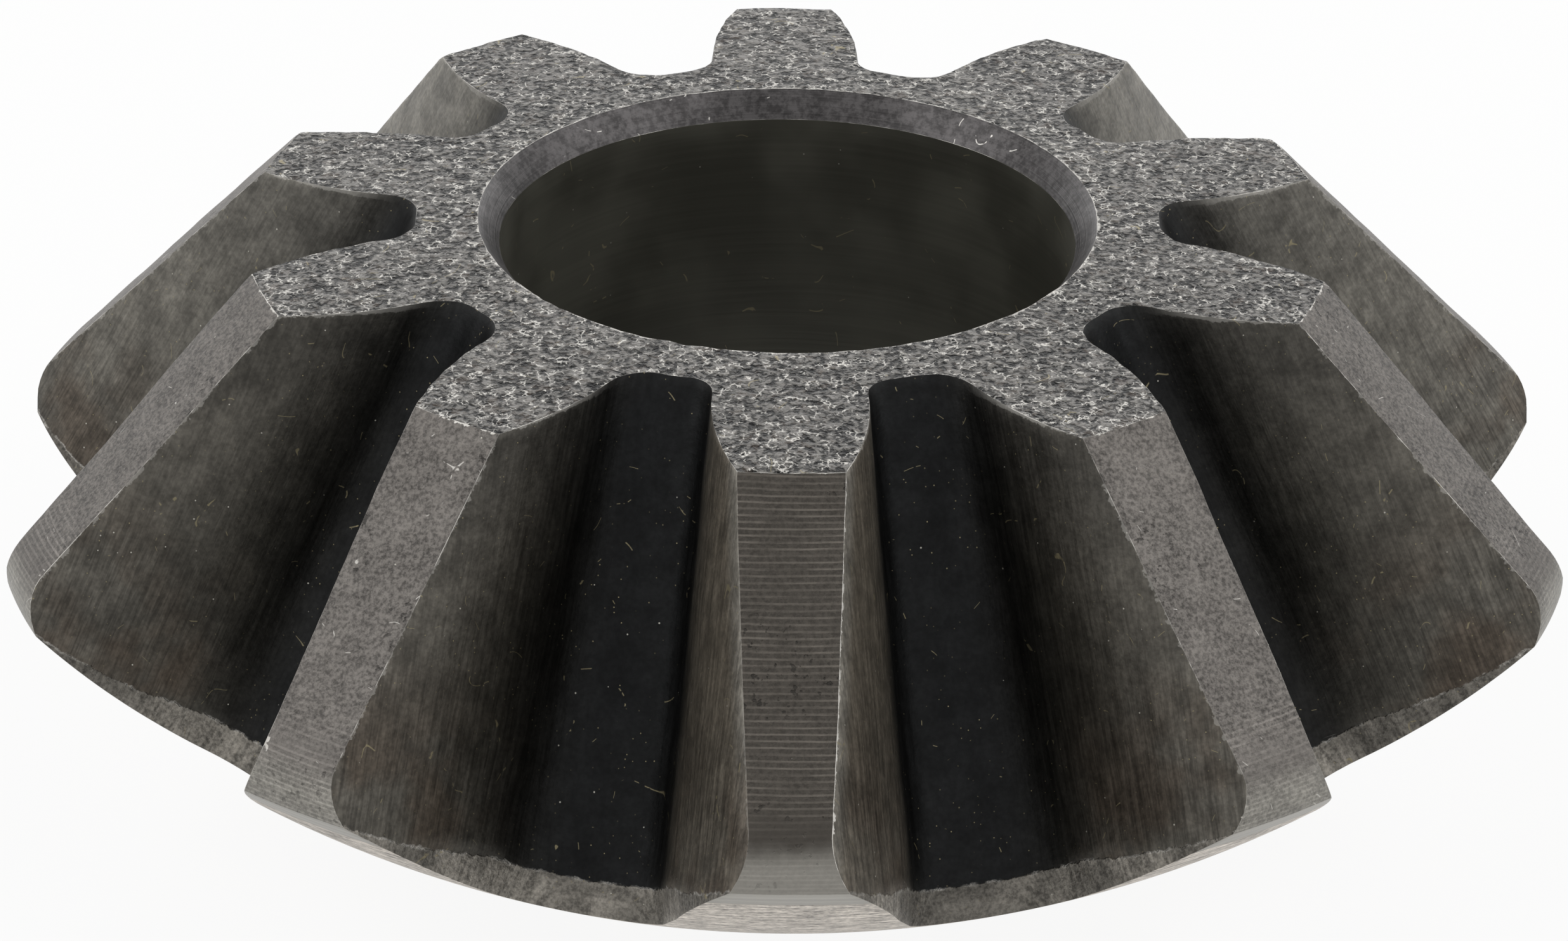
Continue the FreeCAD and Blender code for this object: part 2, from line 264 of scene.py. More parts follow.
# The torn band: how far its edge strays, its least height, the gap above it and the step into it.
BAND_JAG, BAND_LEAST, BAND_GAP, BAND_STEP = 0.12 * MM, 0.05 * MM, 0.05 * MM, 0.025 * MM


def resample(curve, marks):
    """Points along a finely drawn curve at the given shares of its length."""
    step = np.hypot(*np.diff(curve, axis=0).T)
    run = np.concatenate([[0.0], np.cumsum(step)])
    run /= run[-1]
    return np.stack([np.interp(marks, run, curve[:, 0]), np.interp(marks, run, curve[:, 1])], 1)


def band_share(across):
    """Share of its full height that the sheared band has, from the foot of a flank (0) to its tip (1)."""
    return np.clip(1.1 * (0.92 - across) / 0.7, 0.04, 1.0)


def side_columns(shape, rng, relief, fillet):
    """Half of a tooth's side, from the middle of the space to the tooth tip.

    Returns radius, height and bearing, each with a row for each step from toe to heel
    and a column for each step across. The last rows lie on the sheared band. The relief
    thins the tooth towards the heel.
    """
    s = shape.s
    # The fillet's centre, seen along the tooth, lies as far out as seat and beside the flank.
    seat = math.sqrt((s.root_radius + fillet) ** 2 - (shape.half + fillet) ** 2)
    beta = math.atan2(shape.half + fillet, seat)
    columns = []

    for bearing in np.linspace(shape.pitch / 2.0, beta, ROOT_STEPS + 1)[:-1]:
        columns.append((s.root_radius, bearing, (-1.0, 0.0)))
    for turn in np.linspace(beta + math.pi, 1.5 * math.pi, FILLET_STEPS + 1):
        forward = seat + fillet * math.cos(turn)
        sideways = shape.half + fillet * (1.0 + math.sin(turn))
        bearing = math.atan2(sideways, forward)
        normal = (math.cos(turn - bearing), math.sin(turn - bearing))
        columns.append((math.hypot(forward, sideways), bearing, normal))

    fine = np.linspace(0.0, 1.0, FINE)
    curves = []
    for ray, bearing, normal in columns:
        top, bottom = shape.ray_ends(ray)
        z = top + (bottom - top) * fine
        curves.append((np.stack([ray * shape.growth(z), z], 1), bearing, normal, 0.0))

    left = curves[-1][0]
    right = shape.contour(FINE)
    weight = fine[:, None]
    for step in range(1, FLANK_STEPS + 1):
        u = step / FLANK_STEPS
        top_r = left[0, 0] + (right[0, 0] - left[0, 0]) * u
        low_r = left[-1, 0] + (right[-1, 0] - left[-1, 0]) * u
        top = np.array([top_r, shape.toe_z(top_r)])
        low = np.array([low_r, shape.back_z(low_r)])
        left_ends, right_ends = ((1 - weight) * side[0] + weight * side[-1] for side in (left, right))
        corners = (1 - u) * left_ends + u * right_ends
        curve = (1 - u) * left + u * right + (1 - weight) * top + weight * low - corners
        curves.append((curve, None, (0.0, -1.0), u))

    jag = rng.normal(0.0, 1.0, len(curves))
    jag = np.convolve(jag, [0.25, 0.5, 0.25], "same")
    jag[0] = 0.0
    radius, height, bearing_out = [], [], []
    for number, (curve, bearing, normal, u) in enumerate(curves):
        over = shape.sphere - np.hypot(curve[:, 0], curve[:, 1] - shape.centre)
        tall = s.band_height * band_share(u)
        tall = max(tall + BAND_JAG * jag[number] * band_share(u), BAND_LEAST)
        total = np.concatenate([[0.0], np.cumsum(np.hypot(*np.diff(curve, axis=0).T))])
        order = np.argsort(over)
        at_step = np.interp(tall + BAND_GAP, over[order], total[order]) / total[-1]
        at_band = np.interp(tall, over[order], total[order]) / total[-1]
        marks = np.concatenate([np.linspace(0.0, at_step, MAIN_ROWS), np.linspace(at_band, 1.0, BAND_ROWS)])
        points = resample(curve, marks)
        r, z = points[:, 0], points[:, 1]
        z[-1] = shape.back_z(r[-1])
        angle = np.full(len(r), bearing) if bearing is not None else shape.half_angle(r / shape.growth(z))
        thin = relief * (np.clip((s.toe_height - z) / (10.0 * MM), 0.0, 1.2) - 0.25)
        angle = angle - thin * min(1.0, 3.0 * u) / r
        share = np.zeros(len(r))
        share[MAIN_ROWS:] = np.linspace(0.0, 1.0, BAND_ROWS)
        push = s.band_width * share + np.where(np.arange(len(r)) >= MAIN_ROWS, BAND_STEP, 0.0)
        push *= band_share(u)
        r = r + push * normal[0]
        angle = angle + push * normal[1] / r
        z[-1] = shape.back_z(r[-1])
        radius.append(r)
        height.append(z)
        bearing_out.append(angle)
    return np.array(radius).T, np.array(height).T, np.array(bearing_out).T


def read(items, name, width=3):
    """One property of all points or faces, with a row for each."""
    values = np.empty(len(items) * width)
    items.foreach_get(name, values)
    return values.reshape(-1, width)


def join(pieces):
    """Joins the pieces into the first one."""
    bpy.ops.object.select_all(action="DESELECT")
    for piece in pieces:
        piece.select_set(True)
    bpy.context.view_layer.objects.active = pieces[0]
    bpy.ops.object.join()
    return bpy.context.object


def grid_piece(name, radius, height, bearing, kinds, finishes):
    """Adds a grid primitive and shapes it.

    Each point goes to its radius, height and bearing from the tooth's middle.
    """
    rows, columns = radius.shape
    bpy.ops.object.select_all(action="DESELECT")
    bpy.ops.mesh.primitive_grid_add(x_subdivisions=columns - 1, y_subdivisions=rows - 1, size=1.0)
    piece = bpy.context.object
    piece.name = name
    start = read(piece.data.vertices, "co")
    column = np.rint((start[:, 0] + 0.5) * (columns - 1)).astype(int)
    row = np.rint((0.5 - start[:, 1]) * (rows - 1)).astype(int)
    r, z, a = radius[row, column], height[row, column], bearing[row, column] - math.pi / 2.0
    piece.data.vertices.foreach_set("co", np.stack([r * np.cos(a), r * np.sin(a), z], 1).ravel())
    for finish in finishes:
        piece.data.materials.append(finish)
    # The primitive counts its faces from the lower side, and the rows here run from the upper one.
    kinds = np.array(kinds, np.int32).reshape(rows - 1, columns - 1)[::-1]
    piece.data.polygons.foreach_set("material_index", kinds.ravel())
    return piece


FLANK, LAND, TOE, BORE_WALL, CHAMFER, BACK = range(6)


def tooth_pitch(shape, rng, name, finishes, relief, fillet):
    """One tooth with half a space on each side, from toe to back and through to the bore."""
    r0, z0, a0 = side_columns(shape, rng, relief, fillet)
    r1, z1, a1 = side_columns(shape, rng, relief, fillet)
    share = np.linspace(-1.0, 1.0, LAND_STEPS + 1)[None, 1:-1]
    pieces = []

    # The right side's own band has to end at the heel corner as the left one does.
    tip_r, tip_z, tip_a = r0[:, -1:], z0[:, -1:], a0[:, -1:]
    r1[:, -1:], z1[:, -1:], a1[:, -1:] = tip_r, tip_z, tip_a
    radius = np.hstack([r0, np.repeat(tip_r, LAND_STEPS - 1, 1), r1[:, ::-1]])
    height = np.hstack([z0, np.repeat(tip_z, LAND_STEPS - 1, 1), z1[:, ::-1]])
    bearing = np.hstack([-a0, tip_a * share, a1[:, ::-1]])
    rows, columns = radius.shape
    side = r0.shape[1] - 1
    across = np.array([FLANK] * side + [LAND] * LAND_STEPS + [FLANK] * side)
    pieces.append(grid_piece(name + "_sides", radius, height, bearing, np.tile(across, rows - 1), finishes))

    # The tooth's own end faces at the toe and at the back.
    foot = ROOT_STEPS + FILLET_STEPS
    for end, end_name, material in ((0, "toe", TOE), (-1, "back", BACK)):
        left_r, right_r = r0[end, foot:], r1[end, foot:]
        left_a, right_a = -a0[end, foot:], a1[end, foot:]
        share = np.linspace(0.0, 1.0, LAND_STEPS + 1)[None, :]
        radius = left_r[:, None] * (1 - share) + right_r[:, None] * share
        bearing = left_a[:, None] * (1 - share) + right_a[:, None] * share
        height = shape.toe_z(radius) if end == 0 else shape.back_z(radius)
        if end == 0:
            foot_r, foot_a = radius[:1], bearing[:1]
        else:
            low_r, low_a = radius[:1], bearing[:1]
        faces = np.full((radius.shape[0] - 1) * LAND_STEPS, material)
        pieces.append(grid_piece(name + "_" + end_name, radius, height, bearing, faces, finishes))

    # The ring inside the roots: toe face, chamfer, bore, back chamfer and spherical back.
    s = shape.s
    top_r = np.hstack([r0[0, :foot], foot_r[0], r1[0, :foot][::-1]])
    top_a = np.hstack([-a0[0, :foot], foot_a[0], a1[0, :foot][::-1]])
    end_r = np.hstack([r0[-1, :foot], low_r[0], r1[-1, :foot][::-1]])
    end_a = np.hstack([-a0[-1, :foot], low_a[0], a1[-1, :foot][::-1]])
    head = shape.toe_z(shape.mouth) - s.toe_chamfer_depth
    radius, height, bearing, material = [], [], [], []

    def rows_between(start, finish, count, z_of, kind, from_a, to_a):
        """Adds rows from one radius to another, without the last."""
        for share in np.linspace(0.0, 1.0, count + 1)[:-1]:
            r = start + (finish - start) * share
            radius.append(r)
            height.append(z_of(r, share))
            bearing.append(from_a + (to_a - from_a) * share)
            material.append(kind)

    flat = np.ones_like(top_r)
    rows_between(top_r, shape.mouth * flat, 11, lambda r, t: shape.toe_z(r), TOE, top_a, top_a)
    rows_between(shape.mouth * flat, s.bore_radius * flat, 3,
                 lambda r, t: flat * (head + s.toe_chamfer_depth * (1 - t)), CHAMFER, top_a, top_a)
    rows_between(s.bore_radius * flat, s.bore_radius * flat, 22,
                 lambda r, t: flat * (head + (s.back_chamfer_width - head) * t), BORE_WALL, top_a, top_a)
    rows_between(s.bore_radius * flat, shape.ring * flat, 2,
                 lambda r, t: flat * s.back_chamfer_width * (1 - t), CHAMFER, top_a, top_a)
    rows_between(shape.ring * flat, end_r, 26, lambda r, t: shape.back_z(r), BACK, top_a, end_a)
    radius.append(end_r)
    height.append(shape.back_z(end_r))
    bearing.append(end_a)
    faces = np.repeat(np.array(material), len(top_r) - 1)
    core = (np.array(rows) for rows in (radius, height, bearing))
    pieces.append(grid_piece(name + "_core", *core, faces, finishes))

    return join(pieces)


def measure_points(piece, shape):
    """Writes, on each point, its distances in millimetres from the faces that shape the finish."""
    x, y, z = read(piece.data.vertices, "co").T
    r = np.hypot(x, y)
    s = shape.s
    turn = (np.arctan2(y, x) + math.pi / 2.0) / shape.pitch
    tooth = np.rint(turn)
    ray = r / shape.growth(z)
    cone = s.toe_tip_radius + (s.toe_height - z) * math.tan(s.face_cone_angle)
    values = {
        "run": (s.toe_height - z) / math.cos(s.face_cone_angle),
        "over_root": (ray - s.root_radius) * shape.growth(z),
        "under_tip": (cone - r) * math.cos(s.face_cone_angle),
        "over_back": shape.sphere - np.hypot(r, z - shape.centre),
        "sideways": r * np.sin((turn - tooth) * shape.pitch),
        "radius": r,
    }
    for name, value in values.items():
        layer = piece.data.attributes.new(name, "FLOAT", "POINT")
        layer.data.foreach_set("value", value / MM)
    # The tooth's number belongs to a face, so that nothing lies between the last tooth and the first.
    x, y = read(piece.data.polygons, "center").T[:2]
    tooth = np.mod(np.rint((np.arctan2(y, x) + math.pi / 2.0) / shape.pitch), s.teeth)
    piece.data.attributes.new("tooth", "FLOAT", "FACE").data.foreach_set("value", tooth)
    return values


def node(tree, kind, inputs=None, **settings):
    """Adds a node, sets its own settings, and fills or links its sockets."""
    made = tree.nodes.new(kind)
    for key, value in settings.items():
        setattr(made, key, value)
    for key, value in (inputs or {}).items():
        if isinstance(value, bpy.types.NodeSocket):
            tree.links.new(value, made.inputs[key])
        else:
            made.inputs[key].default_value = value
    return made


class Surface:
    """A material in the making: its tree, the shader and short names for what the finishes use."""

    def __init__(self, name, metallic, roughness):
        self.material = bpy.data.materials.new(name)
        self.material.use_nodes = True
        self.tree = self.material.node_tree
        self.tree.nodes.clear()
        settings = {"Metallic": metallic, "Roughness": roughness}
        self.shader = node(self.tree, "ShaderNodeBsdfPrincipled", settings)
        node(self.tree, "ShaderNodeOutputMaterial", {"Surface": self.shader.outputs["BSDF"]})
        self.place = node(self.tree, "ShaderNodeTexCoord").outputs["Object"]

    def measured(self, name):
        """A distance that measure_points wrote, in millimetres."""
        return node(self.tree, "ShaderNodeAttribute", attribute_name=name).outputs["Fac"]

    def math(self, operation, first, second=0.0, clamp=False):
        """One sum."""
        return node(self.tree, "ShaderNodeMath", {0: first, 1: second}, operation=operation,
                    use_clamp=clamp).outputs[0]

    def times(self, first, second):
        """The first value times the second."""
        return self.math("MULTIPLY", first, second)

    def plus(self, first, second):
        """Both values together."""
        return self.math("ADD", first, second)

    def minus(self, first, second):
        """The first value less the second."""
        return self.math("SUBTRACT", first, second)

    def ramp(self, value, low, high, start=0.0, end=1.0):
        """Goes smoothly from start to end as the value goes from low to high."""
        return node(self.tree, "ShaderNodeMapRange",
                    {"Value": value, "From Min": low, "From Max": high, "To Min": start, "To Max": end},
                    interpolation_type="SMOOTHSTEP").outputs[0]

    def grain(self, size, detail=2.0, vector=None, rough=0.5, distortion=0.0):
        """Noise whose lumps are about that many millimetres wide.

        A vector of measured distances is in millimetres already, and the object's own place is in metres.
        """
        unit = 1.0 if vector else MM
        return node(self.tree, "ShaderNodeTexNoise",
                    {"Vector": vector or self.place, "Scale": 1.0 / (size * unit), "Detail": detail,
                     "Roughness": rough, "Distortion": distortion}).outputs[0]

    def worn(self, edge):
        """Bare metal, here and there along the sharp edges."""
        return self.times(edge, self.ramp(self.grain(1.6, 4.0, rough=0.7), 0.46, 0.62, 0.12, 0.95))

    def burr(self, distance):
        """A ragged bright line, up to 0.13 mm wide, where the distance from an edge is small."""
        width = self.ramp(self.grain(0.45, 3.0, rough=0.7), 0.42, 0.68, 0.0, 0.13)
        return self.ramp(self.minus(distance, width), 0.03, -0.02)

    def one_sided(self, share):
        """On the grooved front tooth the right edges are ragged and bright, and the left ones soft."""
        front = self.ramp(self.measured("tooth"), 0.6, 0.4)
        side = self.ramp(self.measured("sideways"), -0.5, 0.5, 0.2, 1.7)
        return self.math("MULTIPLY", share, self.ramp(front, 0.0, 1.0, 1.0, side), clamp=True)

    def specks(self, size, radius, share):
        """Small round specks on about that share of cells that are size millimetres wide."""
        cells = node(self.tree, "ShaderNodeTexVoronoi", {"Vector": self.place, "Scale": 1.0 / (size * MM)})
        chance = node(self.tree, "ShaderNodeSeparateColor", {0: cells.outputs["Color"]}).outputs[0]
        dot = self.ramp(cells.outputs["Distance"], radius / size, 0.5 * radius / size)
        return self.times(dot, self.math("LESS_THAN", chance, share))

    def rims(self, size, width):
        """Crinkled lines between cells that are size millimetres wide; the width is a share of a cell."""
        stir = node(self.tree, "ShaderNodeTexNoise",
                    {"Vector": self.place, "Scale": 1.6 / (size * MM), "Detail": 2.0})
        moved = self.vector_math("MULTIPLY_ADD", stir.outputs["Color"], (size * MM,) * 3, self.place)
        cells = node(self.tree, "ShaderNodeTexVoronoi", {"Vector": moved, "Scale": 1.0 / (size * MM)},
                     feature="DISTANCE_TO_EDGE").outputs["Distance"]
        return self.ramp(cells, width, 0.0)

    def lint(self):
        """Short curled fibres, about 0.05 mm thick, that cling to the rough steel."""
        thread = self.math("ABSOLUTE", self.minus(self.grain(2.6, 1.0, distortion=0.4), 0.5))
        patch = self.ramp(self.grain(0.8, 2.0, rough=0.7), 0.595, 0.61)
        return self.times(self.ramp(thread, 0.0045, 0.0015), patch)

    def mix(self, share, first, second, kind="MIX"):
        """Mixes two colours."""
        return node(self.tree, "ShaderNodeMix", {0: share, 6: first, 7: second}, data_type="RGBA",
                    blend_type=kind, clamp_factor=True).outputs[2]

    def shaded(self, base, shade):
        """A colour made lighter or darker by a share."""
        return self.mix(1.0, base, self.vector(shade, shade, shade), "MULTIPLY")

    def vector_math(self, operation, *values):
        """One sum of points."""
        return node(self.tree, "ShaderNodeVectorMath", dict(enumerate(values)), operation=operation).outputs[0]

    def vector(self, x, y, z):
        """A point made of three values."""
        return node(self.tree, "ShaderNodeCombineXYZ", {0: x, 1: y, 2: z}).outputs[0]

    def round_axis(self, around, across, fine):
        """A place for marks that run round the axis.

        It has so many units in a radian, and fine ones in a millimetre across.
        """
        flat = self.vector_math("MULTIPLY", self.place, (1.0, 1.0, 0.0))
        unit = self.vector_math("NORMALIZE", flat)
        ring = self.vector_math("MULTIPLY", unit, (around, around, 0.0))
        return self.vector_math("ADD", ring, self.vector(0.0, 0.0, self.times(across, fine)))

    def bump(self, height, distance, strength=1.0, normal=None):
        """Raises the surface by that many millimetres where the height is 1."""
        inputs = {"Height": height, "Distance": distance * MM, "Strength": strength}
        if normal:
            inputs["Normal"] = normal
        return node(self.tree, "ShaderNodeBump", inputs).outputs[0]

    def finish(self, base, roughness, normal):
        """Links what the finish worked out to the shader."""
        for socket, value in (("Base Color", base), ("Roughness", roughness), ("Normal", normal)):
            self.tree.links.new(value, self.shader.inputs[socket])
        return self.material


def rgba(value):
    """A colour as a socket takes it, with full cover."""
    return (*value, 1.0)


def flank_steel(c):
    """Case-hardened steel as it left the forging die.

    It has dark oxide that is drawn lengthwise, and a sheared band at the heel.
    """
    m = Surface("forged_case_hardened_steel_flank", 0.85, 0.5)
    run, over_root = m.measured("run"), m.measured("over_root")
    under_tip, over_back, tooth = m.measured("under_tip"), m.measured("over_back"), m.measured("tooth")
    edge = m.measured("edge")

    # Draw marks run along the tooth, 0.1 to 0.2 mm wide and several millimetres long.
    along = m.times(tooth, 7.3)
    streaks = m.grain(1.0, 3.0, m.vector(m.times(over_root, 5.0), m.times(run, 0.2), along), 0.6)
    fine = m.grain(1.0, 2.0, m.vector(m.times(over_root, 12.0), m.times(run, 0.7), along), 0.6)
    cloud, patch = m.grain(3.5, 3.0), m.grain(1.1, 4.0, rough=0.65)
    speck = m.grain(0.2, 2.0, rough=0.6)

    # Painted shade and light: a flank goes darker towards the root, partly with dark oxide and partly as painted
    # shade, and lighter beside the tooth tip as painted light. It is also darker towards the toe, in the root's
    # colour.
    base = m.mix(m.ramp(over_root, -0.6, 4.6), rgba(c.root), rgba(c.flank))
    base = m.mix(m.ramp(under_tip, 5.0, 0.0), base, rgba(c.flank_tip))
    base = m.mix(m.ramp(run, 7.0, 1.0, 0.0, 0.4), base, rgba(c.root))
    # Painted light: the flanks of the teeth across the bore from the grooved one are painted lighter, away from
    # the roots.
    far = m.ramp(m.math("ABSOLUTE", m.minus(tooth, TOOTH_ACROSS)), 2.5, 1.4)
    far = m.times(far, m.ramp(over_root, 0.2, 3.0))
    base = m.mix(m.times(far, 0.65), base, rgba(c.painted_light_flank))
    # Painted light: the front tooth's flanks are painted lighter, and beside its tip a soft painted highlight
    # shows the edge rolling over.
    front = m.times(m.ramp(tooth, 0.6, 0.4), m.ramp(over_root, 0.6, 5.0))
    base = m.mix(m.times(front, 0.95), base, rgba(c.front_flank_painted_light))
    rolled_edge_highlight = m.times(m.times(front, m.ramp(under_tip, 0.9, 0.2)), 0.7)
    base = m.mix(rolled_edge_highlight, base, rgba(c.painted_light_flank))
    towards_heel = m.times(m.ramp(over_back, 9.0, 1.5), m.ramp(over_root, 1.0, 5.0))
    base = m.mix(m.times(towards_heel, 0.45), base, rgba(c.flank_tip))
    near_heel = m.times(m.ramp(over_back, 8.5, 1.2), m.ramp(cloud, 0.42, 0.62))
    near_heel = m.times(near_heel, m.ramp(over_root, 1.5, 4.5))
    base = m.mix(m.times(near_heel, 0.55), base, rgba(c.stain))
    drawn = m.plus(m.ramp(streaks, 0.35, 0.65, -0.1, 0.1), m.ramp(fine, 0.35, 0.65, -0.1, 0.1))
    shade = m.plus(m.times(drawn, m.ramp(towards_heel, 0.0, 1.0, 1.0, 1.8)), 1.0)
    shade = m.times(shade, m.ramp(speck, 0.3, 0.7, 0.84, 1.16))
    shade = m.times(shade, m.ramp(patch, 0.3, 0.7, 0.74, 1.26))
    base = m.shaded(base, shade)

    # The trimmed flash leaves a torn, lighter band, its upper edge uneven by 0.2 mm, with crumbs of 0.16 mm on it.
    torn = m.grain(0.35, 3.0, rough=0.65)
    height = m.plus(m.measured("band"), m.times(m.minus(torn, 0.5), 0.35))
    on_band = m.ramp(m.minus(over_back, height), 0.03, -0.03)
    tears = m.grain(1.0, 3.0, m.vector(m.times(over_root, 4.0), m.times(over_back, 0.7), along), 0.65)
    crumbs = m.ramp(m.grain(0.16, 3.0, rough=0.7), 0.35, 0.65, -0.3, 0.3)
    torn_shade = m.plus(crumbs, m.ramp(tears, 0.35, 0.65, 0.72, 1.28))
    torn_shade = m.times(torn_shade, m.ramp(m.grain(5.0, 2.0), 0.42, 0.6, 0.62, 1.15))
    band = m.shaded(rgba(c.band), torn_shade)
    base = m.mix(on_band, base, band)
    # A painted highlight runs along the band's upper edge, where its small step catches the light.
    lip = m.ramp(m.math("ABSOLUTE", m.minus(over_back, height)), 0.07, 0.0)
    lip = m.times(lip, m.ramp(m.grain(0.9, 2.0), 0.45, 0.6, 0.0, 0.45))
    base = m.mix(lip, base, rgba(c.bright))
    at_tip = m.times(m.burr(under_tip), m.ramp(tooth, 0.6, 0.4, 0.22, 0.7))
    burrs = m.math("MAXIMUM", at_tip, m.times(m.burr(run), 0.2))
    burrs = m.times(m.math("MAXIMUM", burrs, m.worn(edge)), m.ramp(over_root, 0.5, 3.5))
    base = m.mix(m.one_sided(burrs), base, rgba(c.bright))
    base = m.mix(m.times(m.specks(0.6, 0.04, 0.3), 0.8), base, rgba(c.dust))
    dusty = m.times(m.specks(0.26, 0.032, 0.6), m.ramp(m.grain(3.2, 2.0), 0.42, 0.6, 0.2, 0.9))
    base = m.mix(dusty, base, rgba(c.lint))
    base = m.mix(m.times(m.lint(), 0.6), base, rgba(c.lint))

    rough = m.plus(m.ramp(streaks, 0.3, 0.7, 0.44, 0.54), m.times(on_band, 0.12))
    normal = m.bump(streaks, 0.008)
    normal = m.bump(fine, 0.004, normal=normal)
    normal = m.bump(speck, 0.012, normal=normal)
    normal = m.bump(m.times(torn, on_band), 0.1, normal=normal)
    return m.finish(base, rough, normal)


# How far apart the turning tool left its grooves, in millimetres.
GROOVE_PITCH = 0.25


def land_steel(c):
    """Steel turned on the face cone and then blasted.

    It has fine grooves across the tooth, pits, and a smooth heel that is painted lighter, as a reflection of the
    white floor.
    """
    m = Surface("turned_and_blasted_steel_tooth_tip", 0.9, 0.45)
    run, over_back = m.measured("run"), m.measured("over_back")
    edge, tooth = m.measured("edge"), m.measured("tooth")
    # The feed of the turning tool left grooves 0.25 mm apart, which wander by as much over 6 mm.
    wander = m.times(m.grain(6.0, 1.0), 0.25)
    phase = m.times(m.plus(run, wander), 2.0 * math.pi / GROOVE_PITCH)
    groove = m.ramp(m.math("SINE", phase), -0.2, 1.0)
    uneven = m.grain(1.0, 2.0, m.round_axis(9.0, run, 4.0), 0.7)
    groove = m.times(groove, m.ramp(uneven, 0.36, 0.64, 0.35, 1.3))
    front = m.ramp(tooth, 0.6, 0.4)
    heel = m.ramp(m.plus(over_back, m.times(m.grain(1.5, 3.0), 0.8)), 2.2, 0.8)
    low = m.ramp(over_back, 5.0, 2.6, 0.08, 0.55)
    clear = m.times(m.math("MAXIMUM", front, low), m.ramp(m.grain(2.6, 2.0), 0.35, 0.6, 0.5, 1.0))
    # The turned lines and the blasted grain go on over the heel of the other teeth, and end above the front one's.
    lines_left, grain_left = m.ramp(front, 0.0, 1.0, 0.5, 0.12), m.ramp(front, 0.0, 1.0, 0.6, 0.3)
    # The grit is about 0.17 mm wide, and the pits are 0.3 mm wide.
    grooves = m.times(m.times(groove, clear), m.ramp(over_back, 3.6, 1.6, 1.0, lines_left))
    grit, patch = m.grain(0.17, 4.0, rough=0.75), m.grain(1.3, 4.0, rough=0.65)
    pits = m.times(m.ramp(m.grain(0.3, 2.0, rough=0.6), 0.62, 0.68), m.ramp(m.grain(4.0, 2.0), 0.5, 0.6))

    # The grooved front tooth's tip is painted darker than the other tips, as painted shade; its grooves are its
    # own finish.
    base = m.mix(front, rgba(c.land), rgba(c.front_land_painted_shade))
    # Painted reflection: the smooth turned heel is painted lighter, standing for the white floor it reflects.
    base = m.mix(heel, base, rgba(c.heel))
    calm = m.ramp(over_back, 3.4, 1.8, 1.0, grain_left)
    shade = m.plus(m.ramp(grit, 0.35, 0.65, -0.38, 0.38), m.ramp(patch, 0.35, 0.65, -0.1, 0.1))
    shade = m.times(shade, m.ramp(front, 0.0, 1.0, 1.0, 0.5))
    shade = m.plus(m.times(shade, calm), m.times(m.minus(grooves, 0.3), 0.8))
    shade = m.plus(shade, 1.0)
    base = m.shaded(base, shade)
    base = m.mix(m.times(m.times(pits, calm), 0.6), base, rgba(c.grit))
    bare = m.math("MAXIMUM", m.one_sided(m.worn(edge)), m.times(m.burr(run), 0.8))
    base = m.mix(bare, base, rgba(c.bright))
    base = m.mix(m.times(m.specks(0.8, 0.04, 0.2), 0.7), base, rgba(c.dust))
    # On the turned tips the same thin lines are bright scratches; the front tooth has none.
    base = m.mix(m.times(m.lint(), m.ramp(front, 0.0, 1.0, 0.6, 0.0)), base, rgba(c.bright))
    rough = m.plus(m.ramp(grit, 0.3, 0.7, 0.46, 0.6), m.times(heel, -0.08))
    normal = m.bump(grooves, 0.02)
    normal = m.bump(m.times(grit, calm), 0.04, normal=normal)
    normal = m.bump(m.times(pits, calm), -0.05, normal=normal)
    return m.finish(base, rough, normal)


def toe_steel(c):
    """Forged steel cleaned by shot: a coarse grey grain, with painted glints on its facets and painted shade in
    its dimples.
    """
    m = Surface("shot_blasted_steel_toe_face", 0.85, 0.5)
    edge = m.measured("edge")
    # Shot leaves dimples 0.2 to 0.3 mm wide, with sharp rims, which run between cells of 0.36 mm. The dimples are
    # painted dark as shade, and the rims painted bright as glints.
    dimples = m.grain(0.26, 3.0, rough=0.6, distortion=0.4)
    coarse, patch = m.grain(0.8, 3.0, rough=0.6), m.grain(3.0, 3.0)
    rims = m.times(m.rims(0.36, 0.1), m.ramp(m.grain(0.5, 2.0, rough=0.6), 0.5, 0.6))
    shade = m.plus(m.ramp(dimples, 0.43, 0.59, 0.06, 1.34), m.ramp(coarse, 0.38, 0.62, -0.26, 0.26))
    shade = m.plus(shade, m.ramp(patch, 0.38, 0.62, -0.12, 0.12))
    base = m.shaded(rgba(c.toe), shade)
    base = m.mix(m.times(m.ramp(m.grain(0.7, 3.0, rough=0.7), 0.56, 0.64), 0.35), base, rgba(c.stain))
    # Painted glints along the rims.
    base = m.mix(m.times(rims, 0.9), base, rgba(c.bright))
    mouth = m.burr(m.minus(m.measured("radius"), MOUTH_RADIUS))
    base = m.mix(m.math("MAXIMUM", m.worn(edge), m.times(mouth, 0.6)), base, rgba(c.bright))
    base = m.mix(m.times(m.lint(), 0.7), base, rgba(c.lint))
    base = m.mix(m.times(m.specks(0.6, 0.045, 0.25), 0.7), base, rgba(c.dust))
    rough = m.ramp(dimples, 0.3, 0.7, 0.5, 0.38)
    normal = m.bump(coarse, 0.25)
    normal = m.bump(dimples, 0.3, normal=normal)
    normal = m.bump(rims, 0.03, normal=normal)
    return m.finish(base, rough, normal)


